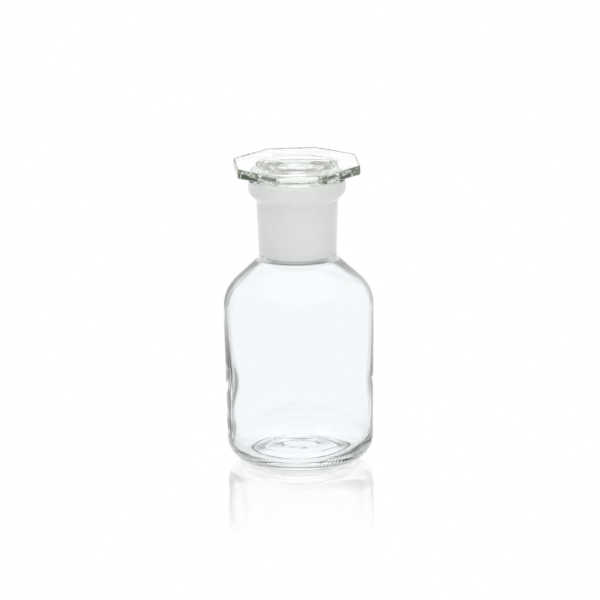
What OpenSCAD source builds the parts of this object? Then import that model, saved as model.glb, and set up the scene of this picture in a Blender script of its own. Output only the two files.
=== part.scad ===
// Wide-neck reagent bottle with a hollow octagonal glass stopper.
// +Z up, millimetres, origin at the centre of the ring that the bottle stands on.

/* [Body] */
// Outside diameter at the shoulder, where the body is widest
shoulder_d = 72.4; // [66:0.2:80]
// Outside diameter just above the heel, where the body is narrowest
heel_d = 70; // [62:0.2:72]
// Height at which the straight wall would meet the shoulder cone
shoulder_z = 83.2; // [70:0.2:88]
// Radius of the rounded shoulder
shoulder_round = 16.7; // [8:0.1:17]
// Radius of the rounded heel
heel_round = 11.6; // [6:0.1:12]
// Wall thickness of the straight body
wall = 1.7; // [1.4:0.1:3]
// Glass thickness over the standing ring
base_t = 4.4; // [3:0.1:6]

/* [Base] */
// Inner diameter of the flat ring that the bottle stands on
ring_d = 45.6; // [34:0.2:46]
// Height of the hollow under the base at its centre
kick_h = 3.4; // [1.5:0.1:3.6]
// Diameter of the round mark in the middle of the base
button_d = 17; // [8:0.5:24]

/* [Neck] */
// Height of the bottle without its stopper
bottle_h = 138.4; // [134:0.2:142]
// Height at which the neck would meet the shoulder cone
neck_z = 100; // [98:0.2:102]
// Outside diameter of the neck at the shoulder
neck_root_d = 37; // [36:0.2:42]
// Outside diameter of the neck under the lip
neck_top_d = 39.2; // [38:0.2:44]
// Radius of the fillet between neck and shoulder
neck_fillet = 4.5; // [1:0.1:6]
// Outside diameter of the beaded lip
lip_d = 46.8; // [44:0.2:52]
// Height of the beaded lip
lip_h = 10.2; // [8:0.2:12]

/* [Ground joint] */
// Large diameter of the ground socket
joint_d = 34.5; // [33:0.1:35.5]
// Length of the ground surface
joint_len = 35; // [30:0.5:35]
// Depth of the ground surface below the mouth
joint_depth = 2; // [1:0.1:3]
// Gap left between ground cone and socket, measured on the radius
joint_gap = 0.04; // [0.01:0.01:0.1]

/* [Stopper] */
// Width of the octagonal head across its flats
head_w = 58.6; // [50:0.2:64]
// Thickness of the octagonal head
head_t = 4.5; // [3.6:0.1:6]
// Gap between the mouth of the bottle and the head
head_gap = 3.4; // [3.3:0.1:6]
// Width of the bevel around the edges of the head
head_bevel = 0.5; // [0.2:0.1:1]
// Radius of the fillet between head and plug
head_fillet = 2.8; // [0.5:0.1:3]
// Diameter of the shallow dish in the top of the head
dish_d = 31; // [24:0.5:40]
// Diameter of the flat floor of the dish
dish_floor_d = 18.4; // [10:0.2:20]
// Depth of the dish
dish_depth = 2.8; // [0.6:0.1:3]
// Wall thickness of the hollow plug
plug_wall = 3; // [2.2:0.1:5]
// Glass left between the hollow and the floor of the dish
crown_t = 3.4; // [2:0.1:5]

/* [Hidden] */
// The ground surfaces narrow by one part in ten of their length
TAPER = 1 / 10;
// How far the seated cone sits below the socket
SEAT_DROP = 1;
// Facets around a turned shape, and steps in one rounded corner
ROUND = 180;
CORNER_STEPS = 10;
SIDES = 8;

shoulder_r = shoulder_d / 2;
heel_r = heel_d / 2;
ring_r = ring_d / 2;
button_r = button_d / 2;
lip_r = lip_d / 2;

// Ground socket, from its wide end near the mouth to its narrow end
socket_r = joint_d / 2;
socket_z = bottle_h - joint_depth;
socket_low_z = socket_z - joint_len;
socket_low_r = socket_r - joint_len * TAPER / 2;
throat_r = socket_low_r - 0.1;

// Ground cone of the seated stopper, which lies SEAT_DROP below the socket
cone_z = socket_z - SEAT_DROP;
cone_low_z = cone_z - joint_len;
cone_r = socket_r - SEAT_DROP * TAPER / 2 - joint_gap;
cone_low_r = cone_r - joint_len * TAPER / 2;
plug_low_z = cone_low_z - 1;

head_z = bottle_h + head_gap;
head_top_z = head_z + head_t;
dish_z = head_top_z - dish_depth;
hollow_z = dish_z - crown_t;

function unit(v) = v / norm(v);

// Arc that rounds the corner p between the points a and b
function corner_arc(a, p, b, r) =
    let (
        u = unit(a - p),
        v = unit(b - p),
        half = acos(u * v) / 2,
        centre = p + unit(u + v) * r / sin(half),
        start = p + u * r / tan(half) - centre,
        finish = p + v * r / tan(half) - centre,
        from = atan2(start.y, start.x),
        turn = atan2(cross(start, finish), start * finish)
    )
    [for (i = [0:CORNER_STEPS])
        let (angle = from + turn * i / CORNER_STEPS)
        centre + r * [cos(angle), sin(angle)]];

// Closed outline through [radius, height, rounding] corners
function rounded(corners) =
    let (
        count = len(corners),
        at = [for (c = corners) [c[0], c[1]]]
    )
    [for (i = [0:count - 1])
        let (
            before = at[(i + count - 1) % count],
            after = at[(i + 1) % count]
        )
        each corners[i][2] > 0 ? corner_arc(before, at[i], after, corners[i][2]) : [at[i]]];

module turned(corners) {
    rotate_extrude($fn = ROUND)
        polygon(rounded(corners));
}

// Blown body: the outside from the base up to the lip, then the inside back down
module bottle() {
    inner_shoulder_r = shoulder_r - wall;
    inner_heel_r = heel_r - wall;
    throat_z = neck_z - 1.8;
    lip_z = bottle_h - lip_h;
    color([0.86, 0.93, 0.93, 0.35])
        turned([
            [0, kick_h, 0],
            [button_r, kick_h, 0.6],
            [button_r + 1, kick_h - 0.8, 0.6],
            [ring_r - 2, kick_h / 2, 1],
            [ring_r, 0, 0.4],
            [heel_r, 0, heel_round],
            [shoulder_r, shoulder_z, shoulder_round],
            [neck_root_d / 2, neck_z, neck_fillet],
            [neck_top_d / 2, lip_z, 0.8],
            [lip_r, lip_z + 4, 4],
            [lip_r, bottle_h, 2.8],
            [socket_r + 1, bottle_h, 0.8],
            [socket_r, socket_z, 0],
            [socket_low_r, socket_low_z, 0],
            [throat_r, throat_z, 2.4],
            [inner_shoulder_r, shoulder_z - 0.6, shoulder_round - wall],
            [inner_heel_r, base_t, heel_round - wall],
            [ring_r, base_t, 4],
            [0, base_t + kick_h - 0.8, 0]
        ]);
}

// Flat octagonal head with every edge bevelled, common to four crossing bars
module head() {
    half = head_w / 2;
    translate([0, 0, head_z])
        intersection_for(bar = [0:SIDES / 2 - 1])
            rotate([90, 0, bar * 360 / SIDES])
                linear_extrude(head_w * 1.2, center = true)
                    polygon([
                        [-half + head_bevel, 0],
                        [half - head_bevel, 0],
                        [half, head_bevel],
                        [half, head_t - head_bevel],
                        [half - head_bevel, head_t],
                        [-half + head_bevel, head_t],
                        [-half, head_t - head_bevel],
                        [-half, head_bevel]
                    ]);
}

// Outside of the plug: clear shank, ground cone and rounded lower rim
module plug() {
    root_r = cone_r + head_fillet + 0.4;
    root_z = head_z + head_t / 2;
    turned([
        [0, root_z, 0],
        [root_r, root_z, 0],
        [root_r, head_z, 0],
        [cone_r, head_z, head_fillet],
        [cone_r, cone_z, 0],
        [cone_low_r, cone_low_z, 0],
        [cone_low_r, plug_low_z, 0.8],
        [0, plug_low_z, 0]
    ]);
}

// Space inside the plug, open at the bottom and domed at the top
module hollow() {
    turned([
        [0, hollow_z, 0],
        [cone_r - plug_wall, hollow_z, 5],
        [cone_low_r - plug_wall, plug_low_z, 0],
        [cone_low_r - plug_wall, plug_low_z - 1, 0],
        [0, plug_low_z - 1, 0]
    ]);
}

// Shallow round dish pressed into the top of the head
module dish() {
    turned([
        [0, dish_z, 0],
        [dish_floor_d / 2, dish_z, 1.5],
        [dish_d / 2, head_top_z, 0],
        [dish_d / 2, head_top_z + 1, 0],
        [0, head_top_z + 1, 0]
    ]);
}

// Pressed stopper, seated in the neck
module stopper() {
    color([0.80, 0.92, 0.84, 0.35])
        difference() {
            union() {
                head();
                plug();
            }
            hollow();
            dish();
        }
}

bottle();
stopper();
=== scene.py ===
"""Wide-neck reagent bottle with an octagonal glass stopper, on a glossy table in a bright-field studio.

Both glass pieces are turned here with finer detail than their CAD solids, which they replace:
the uneven thickness of a blown wall, the knurled standing ring and the rounded edges of a pressed
stopper. Two thin skins just inside the glass give its ground socket and its ground cone.
Lengths of the glass are in millimetres until they reach a mesh. The table and the camera are in metres.
"""

import math

import bpy
from mathutils import Matrix, Vector, noise


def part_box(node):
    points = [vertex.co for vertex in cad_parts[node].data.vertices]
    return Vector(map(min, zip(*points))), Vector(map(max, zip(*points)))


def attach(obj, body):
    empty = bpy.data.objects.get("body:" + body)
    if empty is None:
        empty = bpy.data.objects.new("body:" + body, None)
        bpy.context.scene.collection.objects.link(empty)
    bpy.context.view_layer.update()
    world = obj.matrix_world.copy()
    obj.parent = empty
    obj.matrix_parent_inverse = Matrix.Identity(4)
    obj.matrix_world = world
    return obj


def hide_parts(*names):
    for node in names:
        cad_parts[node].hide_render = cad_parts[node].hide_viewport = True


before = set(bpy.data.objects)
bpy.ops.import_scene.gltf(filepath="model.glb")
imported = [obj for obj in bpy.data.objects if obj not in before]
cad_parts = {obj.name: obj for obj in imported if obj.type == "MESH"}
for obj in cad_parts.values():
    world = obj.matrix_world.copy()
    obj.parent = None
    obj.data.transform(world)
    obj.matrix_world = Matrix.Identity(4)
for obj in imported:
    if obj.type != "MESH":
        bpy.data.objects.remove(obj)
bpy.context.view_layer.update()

MM = 0.001

# ---------------------------------------------------------------- sizes from the frame

_, bottle_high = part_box("bottle")
stopper_low, stopper_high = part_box("stopper")

BODY_R = bottle_high.x / MM
BOTTLE_H = bottle_high.z / MM
HEAD_FLAT = stopper_high.x / MM
HEAD_TOP = stopper_high.z / MM
PLUG_LOW = stopper_low.z / MM

# ---------------------------------------------------------------- sizes of the bottle

# The mould widens a little from the heel up to the shoulder
BODY_FLARE = 1.2
HEEL_R = BODY_R - BODY_FLARE
HEEL_ROUND = 11.6
RING_R = 22.8
KICK_H = 3.4
BUTTON_R = 8.5
SHOULDER_Z = 83.2
SHOULDER_ROUND = 16.7
NECK_Z = 100.0
NECK_ROOT_R = 18.5
NECK_TOP_R = 19.6
NECK_FILLET = 4.5
LIP_R = 23.4
LIP_H = 10.2
BASE_T = 4.4

# Ground socket, from its wide end below the mouth. The cone sits lower in it by CONE_DROP, with
# CONE_GAP left on the radius. TAPER is the change of radius along the length.
SOCKET_R = 17.25
SOCKET_DEPTH = 2
SOCKET_Z = BOTTLE_H - SOCKET_DEPTH
SOCKET_LEN = 35
CONE_DROP = 1
CONE_GAP = 0.04
TAPER = 1 / 20
# How far the ground skins lie inside the glass
GROUND_DEEP = 0.03

# ---------------------------------------------------------------- sizes of the stopper

HEAD_T = 4.5
HEAD_Z = HEAD_TOP - HEAD_T
HEAD_EDGE = 0.7
HEAD_CORNER = 0.9
HEAD_FILLET = 2.8
DISH_R = 15.5
DISH_FLOOR_R = 9.2
DISH_DEPTH = 2.8
PLUG_WALL = 3.0
CROWN_T = 3.4

# ---------------------------------------------------------------- fineness of the meshes

# Steps around the bottle, and in each eighth of the stopper
SEGMENTS = 320
SECTOR_STEPS = 36
# Longest row in mm, and longest step of an arc in degrees
ROW_STEP = 1.7
ARC_STEP = 7
# Two points that are closer than this are the same
TOUCH = 1e-6


# ---------------------------------------------------------------- outlines


def corner_arc(before, corner, after, radius):
    """Points of the arc that rounds one corner of an outline."""
    u = (before - corner).normalized()
    v = (after - corner).normalized()
    half = u.angle(v) / 2
    centre = corner + (u + v).normalized() * radius / math.sin(half)
    start = corner + u * radius / math.tan(half) - centre
    end = corner + v * radius / math.tan(half) - centre
    first = math.atan2(start.y, start.x)
    turn = math.atan2(start.cross(end), start.dot(end))
    steps = max(3, math.ceil(abs(math.degrees(turn)) / ARC_STEP))
    return [
        centre + radius * Vector((math.cos(first + turn * i / steps), math.sin(first + turn * i / steps)))
        for i in range(steps + 1)
    ]


def outline(corners):
    """Open outline through (radius, height, rounding) corners, with long stretches cut into short rows."""
    at = [Vector((r, z)) for r, z, _ in corners]
    points = [at[0]]
    for i in range(1, len(at) - 1):
        rounding = corners[i][2]
        points += corner_arc(at[i - 1], at[i], at[i + 1], rounding) if rounding else [at[i]]
    points.append(at[-1])
    rows = [points[0]]
    for a, b in zip(points, points[1:]):
        if (b - a).length < TOUCH:
            continue
        pieces = max(1, math.ceil((b - a).length / ROW_STEP))
        rows += [a.lerp(b, i / pieces) for i in range(1, pieces + 1)]
    return rows


def smoothstep(low, high, value):
    """0 at low, 1 at high and smooth between them, whichever of the two is larger."""
    t = min(1, max(0, (value - low) / (high - low)))
    return t * t * (3 - 2 * t)


def plateau(start, full, full_end, end, value):
    """1 from full to full_end, and 0 outside start and end."""
    return smoothstep(start, full, value) * smoothstep(end, full_end, value)


def turned_mesh(name, rows, angles, place):
    """Turned mesh. place(angle, radius, height, row) moves each point. A row on the axis is one vertex."""
    verts, faces = [], []
    row_starts = []
    for index, row in enumerate(rows):
        row_starts.append(len(verts))
        on_axis = row.x < TOUCH
        for angle in angles[:1] if on_axis else angles:
            radius, height = place(angle, row.x, row.y, index)
            verts.append((radius * math.cos(angle) * MM, radius * math.sin(angle) * MM, height * MM))
    count = len(angles)
    for a, b in zip(range(len(rows)), range(1, len(rows))):
        low, high = row_starts[a], row_starts[b]
        low_single, high_single = rows[a].x < TOUCH, rows[b].x < TOUCH
        for i in range(count):
            j = (i + 1) % count
            if low_single:
                faces.append((low, high + j, high + i))
            elif high_single:
                faces.append((low + i, low + j, high))
            else:
                faces.append((low + i, low + j, high + j, high + i))
    mesh = bpy.data.meshes.new(name)
    mesh.from_pydata(verts, [], faces)
    mesh.update()
    mesh.polygons.foreach_set("use_smooth", [True] * len(mesh.polygons))
    piece = bpy.data.objects.new(name, mesh)
    bpy.context.scene.collection.objects.link(piece)
    return piece


# ---------------------------------------------------------------- bottle

# Even part of the wall, and the heights between which it goes from thick to thin
WALL_TOP = 0.9
WALL_LOW = 1.2
THICK_BELOW = 42
THIN_ABOVE = 74
# Share of its thickness by which the wall is thicker on one side, and thinner on the other
THICK_SIDE = math.radians(180)
LOPSIDED = 0.3
# Where it is thicker still: azimuth and height of the middle, spread in degrees and mm, extra thickness
LUMPS = [
    (180, 38, 75, 12, 0.9),
    (180, 12, 75, 10, 0.55),
    (-3, 38.5, 44, 11, 0.35),
    (5, 15, 44, 8, 0.2),
    (95, 44, 42, 12, 0.3),
    (60, 22, 36, 10, 0.25),
    (130, 30, 38, 12, 0.3),
    (285, 50, 40, 14, 0.25),
    (320, 26, 34, 9, 0.2),
]
# Slight ripple of the thickness: its depth, waves across a radius, and mm to a wave up the wall
RIPPLE = 0.03
RIPPLE_ACROSS = 1.6
RIPPLE_UP = 14
# Slow drift: mm to a wave up the wall, its phase, and its depth on the outer face and on the floor
DRIFT_UP = 25
DRIFT_START = 7
OUTER_DRIFT = 0.02
FLOOR_DRIFT = 0.25
# Heights between which each face of the wall is drawn away from its outline: start, full, full end, end
OUTER_WALL = (6, 16, 92, 100)
INNER_WALL = (BASE_T + 1.5, 15, 84, 97)
# How far the outer face is set in from the CAD solid, which leaves room for drift and seams
SET_IN = 0.1
# The floor drifts below these heights, and outside these radii
FLOOR_TOP = (16, 8)
FLOOR_MIDDLE = (1, 8)
# Fine ribs of the standing ring: the radii that they cover, and the height that they stay below
RIBS = 80
RIB_DEPTH = 0.35
RIB_ZONE = (RING_R - 0.8, RING_R + 0.4, RING_R + 4.2, RING_R + 5.2)
RIB_TOP = 1.2
# Two seams of the mould: their height over the wall, and their half-width in degrees
SEAM_ANGLES = (math.radians(12), math.radians(192))
SEAM_RISE = 0.05
SEAM_HALF = 0.7


def turn_between(a, b):
    """Signed angle from b to a, in degrees."""
    return math.degrees(math.atan2(math.sin(a - b), math.cos(a - b)))


def wall_thickness(angle, height):
    """Thickness of the blown wall, which sagged and ran while it was hot."""
    even = WALL_TOP + (WALL_LOW - WALL_TOP) * smoothstep(THIN_ABOVE, THICK_BELOW, height)
    even *= 1 + LOPSIDED * math.cos(angle - THICK_SIDE)
    lumps = 0
    for azimuth, middle, spread, reach, extra in LUMPS:
        off = turn_between(angle, math.radians(azimuth)) / spread
        lumps += extra * math.exp(-(off**2) - ((height - middle) / reach) ** 2)
    across = Vector((math.cos(angle) * RIPPLE_ACROSS, math.sin(angle) * RIPPLE_ACROSS, height / RIPPLE_UP))
    return even + lumps + RIPPLE * noise.noise(across)


def bottle_place(angle, radius, height, row):
    """The outer face stays nearly true to the mould; the inner one carries the uneven thickness."""
    drift = noise.noise(Vector((math.cos(angle), math.sin(angle), height / DRIFT_UP + DRIFT_START)))
    if row < socket_start:
        on_wall = plateau(*OUTER_WALL, height)
        radius += OUTER_DRIFT * drift * on_wall - SET_IN * on_wall
        for seam in SEAM_ANGLES:
            radius += SEAM_RISE * on_wall * math.exp(-((turn_between(angle, seam) / SEAM_HALF) ** 2))
        if height < RIB_TOP:
            height += plateau(*RIB_ZONE, radius) * RIB_DEPTH * (0.5 + 0.5 * math.cos(angle * RIBS))
    if row >= inside_start:
        radius -= plateau(*INNER_WALL, height) * (wall_thickness(angle, height) - WALL_TOP)
        height += FLOOR_DRIFT * drift * smoothstep(*FLOOR_TOP, height) * smoothstep(*FLOOR_MIDDLE, radius)
    return radius, height


inner_r = BODY_R - WALL_TOP
socket_low_z = SOCKET_Z - SOCKET_LEN
socket_low_r = SOCKET_R - SOCKET_LEN * TAPER

# The corner of the rounded shoulder lies a little outside the widest radius
outside = outline(
    [
        (0, KICK_H, 0),
        (BUTTON_R - 0.5, KICK_H, 2),
        (BUTTON_R + 1, KICK_H - 0.3, 2),
        (RING_R - 6, KICK_H - 1, 5),
        (RING_R + 0.2, 0, 1),
        (HEEL_R, 0, HEEL_ROUND),
        (BODY_R + 0.1, SHOULDER_Z, SHOULDER_ROUND),
        (NECK_ROOT_R, NECK_Z, NECK_FILLET),
        (NECK_TOP_R, BOTTLE_H - LIP_H, 0.8),
        (LIP_R, BOTTLE_H - LIP_H + 4, 4),
        (LIP_R, BOTTLE_H, 2.8),
        (SOCKET_R + 1, BOTTLE_H, 0.8),
        (SOCKET_R, SOCKET_Z, 0),
    ]
)
socket = outline([(SOCKET_R, SOCKET_Z, 0), (socket_low_r, socket_low_z, 0)])
inside = outline(
    [
        (socket_low_r, socket_low_z, 0),
        (socket_low_r - 0.1, NECK_Z + 0.4, 1.6),
        (inner_r, SHOULDER_Z - 0.4, SHOULDER_ROUND - WALL_TOP),
        (HEEL_R - WALL_TOP, BASE_T - 0.6, HEEL_ROUND - WALL_TOP),
        (RING_R + 1, BASE_T - 0.6, 5),
        (RING_R - 6, BASE_T + 1.6, 6),
        (0, BASE_T + 2.4, 0),
    ]
)
bottle_rows = outside + socket[1:] + inside[1:]
socket_start = len(outside)
inside_start = len(outside) + len(socket[1:])
ring_angles = [math.tau * i / SEGMENTS for i in range(SEGMENTS)]
bottle_glass = turned_mesh("bottle_glass", bottle_rows, ring_angles, bottle_place)


# ---------------------------------------------------------------- stopper


SIDES = 8
SECTOR = math.tau / SIDES
# The head is round inside the first radius, and fully octagonal from the second
SQUARE_UP = (20.5, 25.5)
# Slight waves of the pressed faces: depth, how much of the face they take in, mm to a wave, and the
# width of the edge along which they fade out
WAVE_DEPTH = 0.08
WAVE_SHARE = 0.5
WAVE_ACROSS = 11
WAVE_UP = 9
WAVE_MARGIN = 4
# Points down to this far under the head belong to it
HEAD_REACH = 0.01


def octagon(angle):
    """Radius of an octagon with rounded corners, as a multiple of the distance to its flats."""
    off = abs((angle + SECTOR / 2) % SECTOR - SECTOR / 2)
    corner = HEAD_CORNER / HEAD_FLAT
    flat_end = math.atan((1 - corner) * math.tan(SECTOR / 2))
    if off <= flat_end:
        return 1 / math.cos(off)
    centre = (1 - corner) / math.cos(SECTOR / 2)
    bend = SECTOR / 2 - off
    return centre * math.cos(bend) + math.sqrt(corner**2 - (centre * math.sin(bend)) ** 2)


def stopper_place(angle, radius, height, row):
    """Octagonal where the head is wide, round everywhere else, with the slight waves of a pressed face."""
    if height <= HEAD_Z - HEAD_REACH:
        return radius, height
    square_up = smoothstep(*SQUARE_UP, radius)
    x, y = math.cos(angle) * radius, math.sin(angle) * radius
    wave = noise.noise(Vector((x / WAVE_ACROSS, y / WAVE_ACROSS, height / WAVE_UP)))
    inside_edge = smoothstep(HEAD_FLAT, HEAD_FLAT - WAVE_MARGIN, radius)
    height -= WAVE_DEPTH * max(0, WAVE_SHARE + wave) * inside_edge
    return radius * (1 + square_up * (octagon(angle) - 1)), height


cone_z = SOCKET_Z - CONE_DROP
cone_r = SOCKET_R - CONE_DROP * TAPER - CONE_GAP
cone_low_z = cone_z - SOCKET_LEN
cone_low_r = cone_r - SOCKET_LEN * TAPER
dish_z = HEAD_TOP - DISH_DEPTH
hollow_z = dish_z - CROWN_T

head = outline(
    [
        (0, dish_z, 0),
        (DISH_FLOOR_R, dish_z, 1.5),
        (DISH_R, HEAD_TOP, 1),
        (HEAD_FLAT, HEAD_TOP, HEAD_EDGE),
        (HEAD_FLAT, HEAD_Z, HEAD_EDGE),
        (cone_r, HEAD_Z, HEAD_FILLET),
        (cone_r, cone_z, 0),
    ]
)
cone = outline([(cone_r, cone_z, 0), (cone_low_r, cone_low_z, 0)])
hollow = outline(
    [
        (cone_low_r, cone_low_z, 0),
        (cone_low_r, PLUG_LOW, 0.8),
        (cone_low_r - PLUG_WALL, PLUG_LOW, 0.8),
        (cone_r - PLUG_WALL, hollow_z, 5),
        (0, hollow_z, 0),
    ]
)
stopper_rows = head + cone[1:] + hollow[1:]
# Steps crowd towards the octagon's corners, where the outline bends
sector_angles = [SECTOR / 2 * math.sin(math.pi * (i / SECTOR_STEPS - 0.5)) for i in range(SECTOR_STEPS)]
stopper_angles = [SECTOR * side + step for side in range(SIDES) for step in sector_angles]
stopper_glass = turned_mesh("stopper_glass", stopper_rows[::-1], stopper_angles, stopper_place)


# ---------------------------------------------------------------- glass


def add_node(tree, kind, **inputs):
    """A node with these inputs, linked where the value is another node's socket. i0 is its first input."""
    node = tree.nodes.new(kind)
    for name, value in inputs.items():
        numbered = name[0] == "i" and name[1:].isdigit()
        target = node.inputs[int(name[1:]) if numbered else name]
        if isinstance(value, bpy.types.NodeSocket):
            tree.links.new(value, target)
        else:
            target.default_value = value
    return node


def math_node(tree, operation, *values):
    """Result of one calculation on these values."""
    node = add_node(tree, "ShaderNodeMath", **{f"i{i}": value for i, value in enumerate(values)})
    node.operation = operation
    return node.outputs["Value"]


RAMP_SOCKETS = ("From Min", "From Max", "To Min", "To Max")


def ramp(tree, value, low, high, from_value=0.0, to_value=1.0):
    """Smooth step from one value to another."""
    node = add_node(tree, "ShaderNodeMapRange", Value=value)
    node.interpolation_type = "SMOOTHSTEP"
    for socket, number in zip(RAMP_SOCKETS, (low, high, from_value, to_value)):
        node.inputs[socket].default_value = number
    return node.outputs["Result"]


# Sockets of the mix node that hold its factor, its two colours and its mixed colour
MIX_FACTOR = 0
MIX_COLOURS = (6, 7)
MIX_RESULT = 2


def choose(tree, factor, off, on):
    """Colour mix: off where the factor is 0, on where it is 1."""
    node = tree.nodes.new("ShaderNodeMix")
    node.data_type = "RGBA"
    tree.links.new(factor, node.inputs[MIX_FACTOR])
    for value, number in zip((off, on), MIX_COLOURS):
        if isinstance(value, bpy.types.NodeSocket):
            tree.links.new(value, node.inputs[number])
        else:
            node.inputs[number].default_value = (*value, 1)
    return node.outputs[MIX_RESULT]


def grey(level):
    """Neutral colour of this level."""
    return (level, level, level)


# Slight swirls in the face of the glass: fineness, strength, and depth in metres
SWIRL_SCALE = 90.0
SWIRL_BUMP = 0.02
SWIRL_DEPTH = 0.0004
GLASS_IOR = 1.52


def glass(name, surface, tint, density):
    """Clear glass with a faint tint that deepens where the light has a long way to go through it."""
    material = bpy.data.materials.new(name)
    material.use_nodes = True
    tree = material.node_tree
    shader = tree.nodes["Principled BSDF"]
    shader.inputs["Base Color"].default_value = (*surface, 1)
    shader.inputs["Roughness"].default_value = 0
    shader.inputs["IOR"].default_value = GLASS_IOR
    shader.inputs["Transmission Weight"].default_value = 1
    places = tree.nodes.new("ShaderNodeTexCoord").outputs["Object"]
    waves = add_node(tree, "ShaderNodeTexNoise", Vector=places, Scale=SWIRL_SCALE, Detail=1.0)
    swirls = waves.outputs["Fac"]
    bump = add_node(tree, "ShaderNodeBump", Height=swirls, Strength=SWIRL_BUMP, Distance=SWIRL_DEPTH)
    tree.links.new(bump.outputs["Normal"], shader.inputs["Normal"])
    absorb = tree.nodes.new("ShaderNodeVolumeAbsorption")
    absorb.inputs["Color"].default_value = (*tint, 1)
    absorb.inputs["Density"].default_value = density
    tree.links.new(absorb.outputs["Volume"], tree.nodes["Material Output"].inputs["Volume"])
    return material


# Rings around the axis and grain of the ground finish: fineness, strength, and depth in metres
RING_SCALE = (40.0, 40.0, 2600.0)
GRAIN_SCALE = 3200.0
GRAIN_BUMP = 0.3
GRAIN_DEPTH = 0.00005
# Sum of the two patterns that looks darkest and lightest, with those colours and roughnesses
GROUND_RANGE = (0.6, 1.4)
GROUND_DARK = (0.955, 0.96, 0.95)
GROUND_LIGHT = (0.985, 0.985, 0.98)
GROUND_ROUGHNESS = (0.8, 1.0)


def ground_finish():
    """Fine-ground glass: white and dull, with the grain and the faint rings that grinding leaves."""
    material = bpy.data.materials.new("ground_glass")
    material.use_nodes = True
    tree = material.node_tree
    shader = tree.nodes["Principled BSDF"]
    shader.inputs["Specular IOR Level"].default_value = 0
    places = tree.nodes.new("ShaderNodeTexCoord").outputs["Object"]
    rings_at = add_node(tree, "ShaderNodeMapping", Vector=places, Scale=RING_SCALE)
    rings = add_node(tree, "ShaderNodeTexNoise", Vector=rings_at.outputs["Vector"], Scale=1.0, Detail=1.0)
    grain = add_node(tree, "ShaderNodeTexNoise", Vector=places, Scale=GRAIN_SCALE, Detail=2.0)
    height = math_node(tree, "ADD", rings.outputs["Fac"], grain.outputs["Fac"])
    tone = choose(tree, ramp(tree, height, *GROUND_RANGE), GROUND_DARK, GROUND_LIGHT)
    tree.links.new(tone, shader.inputs["Base Color"])
    tree.links.new(ramp(tree, height, *GROUND_RANGE, *GROUND_ROUGHNESS), shader.inputs["Roughness"])
    bump = add_node(tree, "ShaderNodeBump", Height=height, Strength=GRAIN_BUMP, Distance=GRAIN_DEPTH)
    tree.links.new(bump.outputs["Normal"], shader.inputs["Normal"])
    return material


def ground_skin(name, wide_r, top_z, material):
    """Thin conical skin that lies GROUND_DEEP inside the glass and gives its ground surface."""
    rows = outline([(wide_r, top_z, 0), (wide_r - SOCKET_LEN * TAPER, top_z - SOCKET_LEN, 0)])
    skin = turned_mesh(name, rows, ring_angles, lambda angle, radius, height, row: (radius, height))
    skin.data.materials.append(material)
    return skin


# Colour of each glass at its faces, its tint in depth and the density of that tint
BLOWN_GLASS = ((0.952, 0.967, 0.974), (0.66, 0.82, 0.80), 2)
PRESSED_GLASS = ((0.985, 0.99, 0.98), (0.40, 0.72, 0.30), 2.2)

bottle_glass.data.materials.append(glass("clear_blown_glass", *BLOWN_GLASS))
stopper_glass.data.materials.append(glass("green_pressed_glass", *PRESSED_GLASS))
ground_glass = ground_finish()
socket_ground = ground_skin("socket_ground", SOCKET_R + GROUND_DEEP, SOCKET_Z, ground_glass)
cone_ground = ground_skin("cone_ground", cone_r - GROUND_DEEP, cone_z, ground_glass)

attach(bottle_glass, "bottle")
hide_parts("bottle")
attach(socket_ground, "bottle")
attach(stopper_glass, "stopper")
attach(cone_ground, "stopper")
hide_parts("stopper")

# ---------------------------------------------------------------- table, studio and camera

TABLE_R = 0.16
TABLE_SIDES = 96
# How far the top lies below the standing ring
TABLE_DROP = 0.0002
# Share of the light that the top mirrors under the bottle, and the radii between which it fades to none
MIRROR = 0.42
MIRROR_FADE = (0.03, 0.15)
MIRROR_BLUR = 0.02
WHITE = (1, 1, 1, 1)


def table_top():
    """Glossy white disc that lights itself, with a reflection that fades out. Only the camera sees it."""
    mesh = bpy.data.meshes.new("table_top")
    around = [math.tau * i / TABLE_SIDES for i in range(TABLE_SIDES)]
    rim = [(TABLE_R * math.cos(angle), TABLE_R * math.sin(angle), 0) for angle in around]
    mesh.from_pydata(rim, [], [tuple(range(TABLE_SIDES))])
    disc = bpy.data.objects.new("table_top", mesh)
    disc.location.z = -TABLE_DROP
    bpy.context.scene.collection.objects.link(disc)
    material = bpy.data.materials.new("white_acrylic")
    material.use_nodes = True
    tree = material.node_tree
    tree.nodes.clear()
    places = tree.nodes.new("ShaderNodeTexCoord").outputs["Object"]
    away = add_node(tree, "ShaderNodeVectorMath", i0=places)
    away.operation = "LENGTH"
    fade = ramp(tree, away.outputs["Value"], *MIRROR_FADE, MIRROR, 0.0)
    white = add_node(tree, "ShaderNodeEmission", Color=WHITE).outputs["Emission"]
    gloss = add_node(tree, "ShaderNodeBsdfGlossy", Color=WHITE, Roughness=MIRROR_BLUR).outputs["BSDF"]
    top = add_node(tree, "ShaderNodeMixShader", Fac=fade, i1=white, i2=gloss).outputs["Shader"]
    seen = tree.nodes.new("ShaderNodeLightPath").outputs["Is Camera Ray"]
    unseen = add_node(tree, "ShaderNodeBsdfTransparent", Color=WHITE).outputs["BSDF"]
    shown = add_node(tree, "ShaderNodeMixShader", Fac=seen, i1=unseen, i2=top)
    add_node(tree, "ShaderNodeOutputMaterial", Surface=shown.outputs["Shader"])
    mesh.materials.append(material)


# Angles of the studio are in degrees, and its levels are multiples of white.
# Dark upright flags stand midway between the eight main directions, which are turned by FLAG_TURN
FLAG_GAP = 45
FLAG_TURN = 3.3
FLAG_SOFT = 3
FLAG_LOW = -25
FLAG_HIGH = 36
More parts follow.
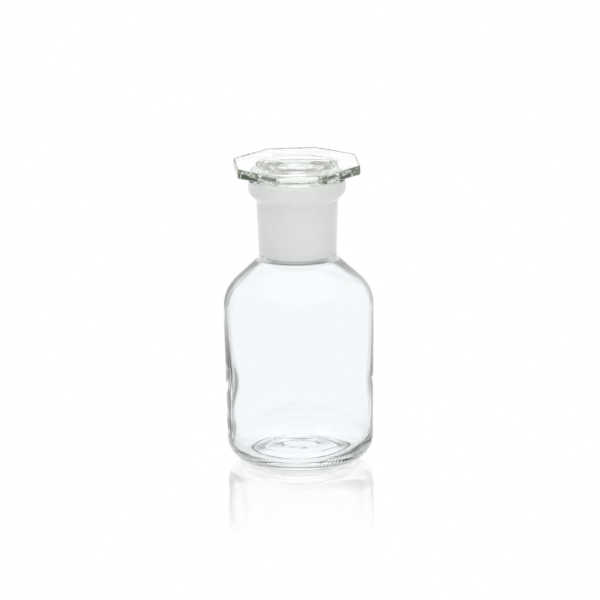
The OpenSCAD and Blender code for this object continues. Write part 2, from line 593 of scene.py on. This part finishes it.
# Half-width, extra half-width near the level, where that starts, and brightness: seen straight through
# the glass, and as the glass mirrors them once
FLAG_HALF = 10
FLAG_SPREAD = 7
SPREAD_START = -12
FLAG_LEVEL = 0.02
MIRROR_FLAG_HALF = 8
MIRROR_FLAG_SPREAD = 12
MIRROR_SPREAD_START = -13
MIRROR_FLAG_LEVEL = 0.15
# How far above its start the spread is full, and where it ends
SPREAD_RISE = 9
SPREAD_END = (8, 14)
# Light between the mirrored flags at the level and overhead, and where one turns into the other
MIRRORED = 1.0
MIRRORED_SKY = 1.9
SKY_RISE = (35, 70)
# Brightness of the flags after two or more reflections, which gives the edges of the head
FACET_LEVEL = (0.05, 0.07, 0.04)
# Limits along Y of the flags behind the bottle, for one and for two reflections, and of those in front
ONCE_BEHIND = (0.5, 0.75)
TWICE_BEHIND = (-0.1, 0.3)
IN_FRONT = (-0.6, -0.3)
# Light that reaches the ground glass and other dull surfaces, and the Z between which the sky's takes over
SIDE_LIGHT = (0.65, 0.655, 0.64)
FRONT_LIGHT = (1.6, 1.6, 1.56)
SKY_LIGHT = (3.0, 3.0, 2.9)
SKY_HEIGHT = (0.5, 0.9)


def studio():
    """White all round. Only rays that have gone through glass meet the flags. Dull faces are lit apart."""
    world = bpy.data.worlds.new("studio")
    bpy.context.scene.world = world
    world.use_nodes = True
    tree = world.node_tree
    tree.nodes.clear()
    direction = tree.nodes.new("ShaderNodeTexCoord").outputs["Generated"]
    parts = add_node(tree, "ShaderNodeSeparateXYZ", Vector=direction)
    across, along, up = parts.outputs["X"], parts.outputs["Y"], parts.outputs["Z"]
    azimuth = math_node(tree, "ARCTAN2", along, across)
    turned = math_node(tree, "ADD", azimuth, math.radians(FLAG_TURN))
    off_main = math_node(tree, "PINGPONG", turned, math.radians(FLAG_GAP) / 2)
    rise = math_node(tree, "ARCSINE", up)
    path = tree.nodes.new("ShaderNodeLightPath")

    def by_rise(low, high, *values):
        """Ramp between two heights above the level, in degrees."""
        return ramp(tree, rise, math.radians(low), math.radians(high), *values)

    def both(a, b):
        return math_node(tree, "MULTIPLY", a, b)

    def beyond(name, count):
        """1 where the ray's path has at least this many bounces of one kind."""
        return math_node(tree, "GREATER_THAN", path.outputs[name], count - 0.5)

    below_end = by_rise(*SPREAD_END, 1.0, 0.0)
    above_foot = by_rise(FLAG_LOW - FLAG_SOFT, FLAG_LOW + FLAG_SOFT)
    upright = both(above_foot, by_rise(FLAG_HIGH - FLAG_SOFT, FLAG_HIGH + FLAG_SOFT, 1.0, 0.0))

    def flags(half, wider, start):
        """Strips of this half-width, wider near the level, where the shoulder bends the view to."""
        grown = by_rise(start, start + SPREAD_RISE, 0.0, math.radians(wider))
        off = math_node(tree, "ADD", off_main, both(grown, below_end))
        edge = math.radians(FLAG_GAP) / 2 - math.radians(half)
        strip = ramp(tree, off, edge - math.radians(FLAG_SOFT), edge + math.radians(FLAG_SOFT))
        return both(strip, upright)

    # Each new light holds for some paths, and the other paths keep the one before it
    dark = flags(FLAG_HALF, FLAG_SPREAD, SPREAD_START)
    light = choose(tree, dark, grey(1), grey(FLAG_LEVEL))
    around = choose(tree, by_rise(*SKY_RISE), grey(MIRRORED), grey(MIRRORED_SKY))
    mirror_flags = flags(MIRROR_FLAG_HALF, MIRROR_FLAG_SPREAD, MIRROR_SPREAD_START)
    mirrored = both(mirror_flags, ramp(tree, along, *ONCE_BEHIND))
    once = choose(tree, mirrored, around, grey(MIRROR_FLAG_LEVEL))
    light = choose(tree, beyond("Glossy Depth", 1), light, once)
    twice = choose(tree, both(dark, ramp(tree, along, *TWICE_BEHIND)), around, FACET_LEVEL)
    light = choose(tree, beyond("Glossy Depth", 2), light, twice)
    trapped = both(beyond("Glossy Depth", 3), ramp(tree, along, *IN_FRONT, 1.0, 0.0))
    light = choose(tree, trapped, light, FACET_LEVEL)
    light = choose(tree, beyond("Transmission Depth", 1), grey(1), light)
    spread_out = math_node(tree, "LESS_THAN", path.outputs["Is Singular Ray"], 0.5)
    light = choose(tree, spread_out, light, grey(1))
    level = choose(tree, both(along, along), SIDE_LIGHT, FRONT_LIGHT)
    soft = choose(tree, ramp(tree, up, *SKY_HEIGHT), level, SKY_LIGHT)
    light = choose(tree, beyond("Diffuse Depth", 1), light, soft)
    back = add_node(tree, "ShaderNodeBackground", Color=light, Strength=1.0)
    add_node(tree, "ShaderNodeOutputWorld", Surface=back.outputs["Background"])


# Distance to the aim, width of the view there, and the clipping limits, in metres
CAMERA_DISTANCE = 2.85
VIEW_WIDTH = 0.287
NEAREST = 0.1
FARTHEST = 20
# Width of the sensor, in millimetres
SENSOR = 36
# Azimuth from the front, elevation and roll, in degrees
AZIMUTH = -4.8
ELEVATION = 15.2
ROLL = 0.8
AIM = Vector((0.0007, 0, 0.0781))


def camera():
    """Long lens from a little above, turned 5 degrees off the octagon's front flat."""
    data = bpy.data.cameras.new("camera")
    data.sensor_width = SENSOR
    data.lens = SENSOR * CAMERA_DISTANCE / VIEW_WIDTH
    data.dof.use_dof = False
    data.clip_start = NEAREST
    data.clip_end = FARTHEST
    obj = bpy.data.objects.new("camera", data)
    azimuth, elevation = math.radians(AZIMUTH), math.radians(ELEVATION)
    back = Vector(
        (
            math.sin(azimuth) * math.cos(elevation),
            -math.cos(azimuth) * math.cos(elevation),
            math.sin(elevation),
        )
    )
    aim = Matrix.Rotation(azimuth, 3, "Z") @ AIM
    obj.location = aim + back * CAMERA_DISTANCE
    obj.rotation_mode = "QUATERNION"
    level = (-back).to_track_quat("-Z", "Y")
    obj.rotation_quaternion = Matrix.Rotation(math.radians(-ROLL), 3, back).to_quaternion() @ level
    bpy.context.scene.collection.objects.link(obj)
    bpy.context.scene.camera = obj


table_top()
studio()
camera()

# Light crosses many faces of glass before it reaches the camera
scene = bpy.context.scene
scene.view_settings.view_transform = "Standard"
scene.cycles.max_bounces = 40
scene.cycles.transmission_bounces = 40
scene.cycles.glossy_bounces = 16
scene.cycles.diffuse_bounces = 10
scene.cycles.transparent_max_bounces = 16

bpy.context.view_layer.update()
